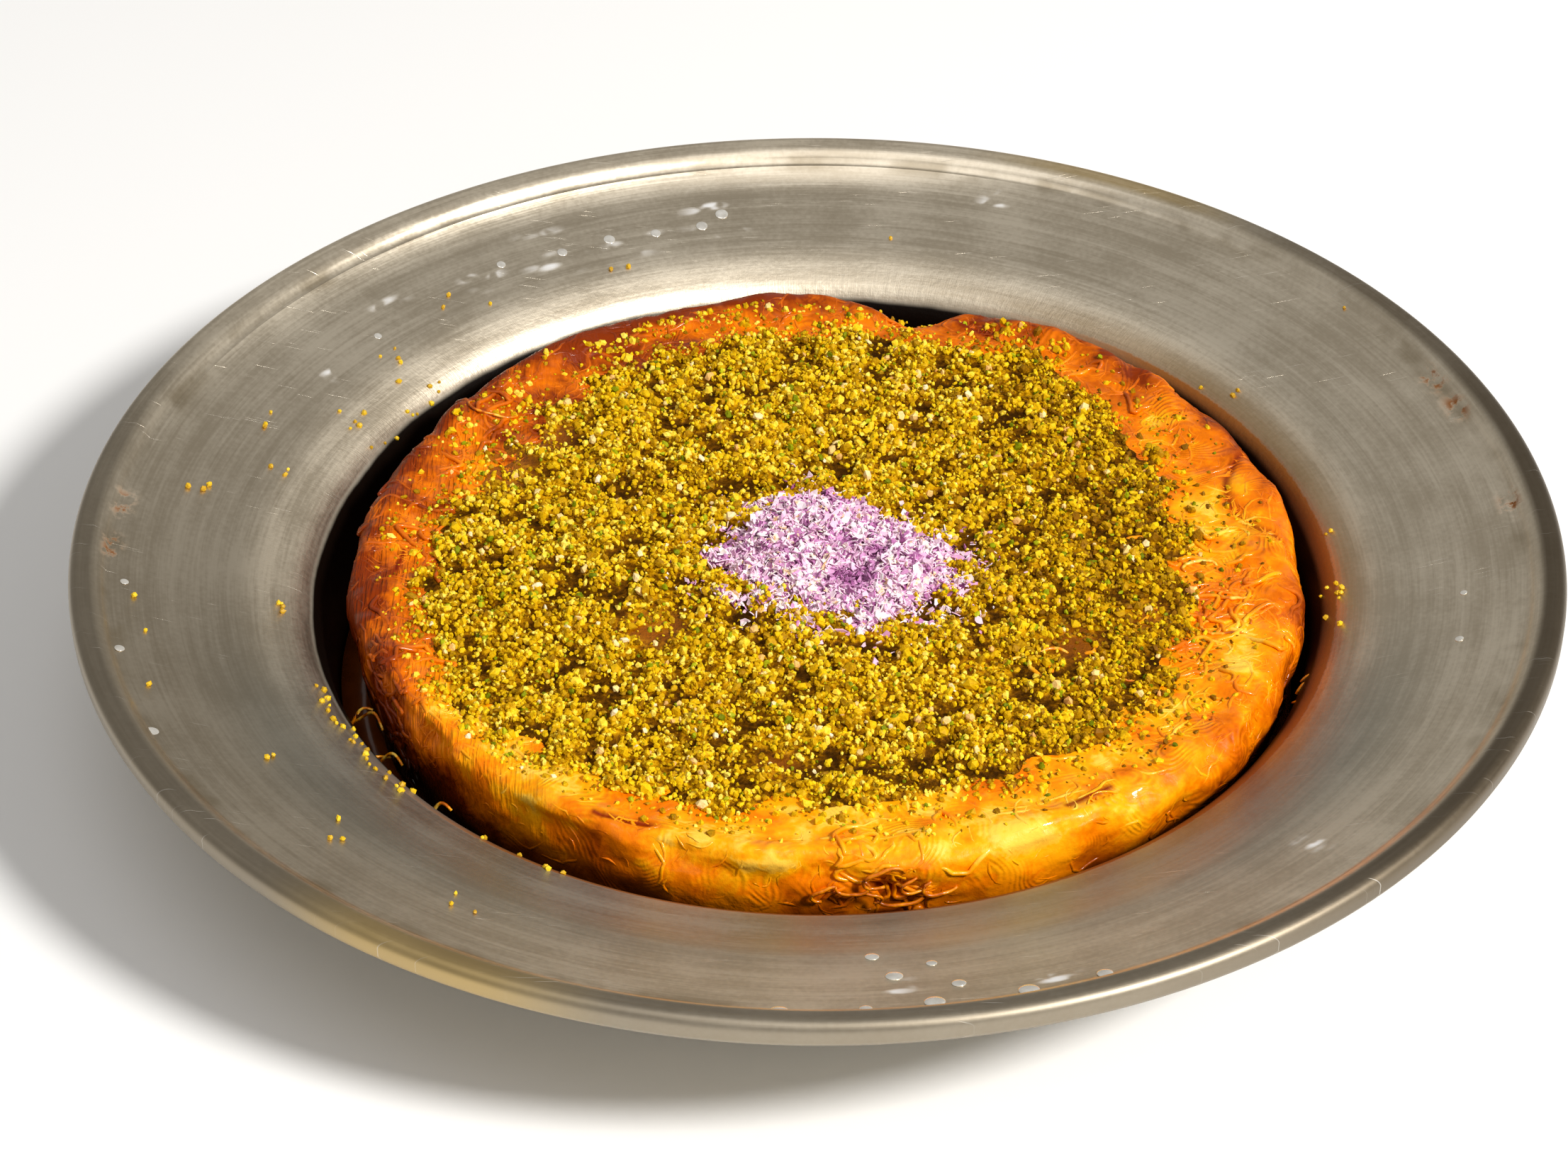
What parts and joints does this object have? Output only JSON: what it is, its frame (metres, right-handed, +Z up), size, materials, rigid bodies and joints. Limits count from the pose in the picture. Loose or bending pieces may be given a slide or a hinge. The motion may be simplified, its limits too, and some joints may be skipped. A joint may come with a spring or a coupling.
{
  "type": "kunafa in a rimmed dish",
  "caption": "Round shredded-pastry kunafa with syrup, ground pistachio and a heap of dried rose petals, served in its wide-rimmed steel dish.",
  "frame": {"origin": "on the dish's axis, at the underside of its floor, where it stands", "axes": "+Z up along the dish's axis; the viewer of the picture stands at -Y, with +X to the viewer's right"},
  "size_m": [0.2, 0.2, 0.0284],
  "materials": {
    "steel": "satin pressed stainless steel, faintly brushed round the rim, with fine scratches",
    "pastry": "fried shredded pastry wet with syrup, golden to red-brown",
    "pistachio": "coarsely ground pistachio, yellow-olive with cream and green crumbs",
    "rose": "dry crushed rose petals, lilac to deep magenta with cream scraps",
    "syrup": "clear amber sugar syrup"
  },
  "bodies": {
    "root": {"dish": "steel", "pastry": "pastry", "ground_pistachio": "pistachio", "rose_petals": "rose", "syrup": "syrup"}
  },
  "joints": []
}
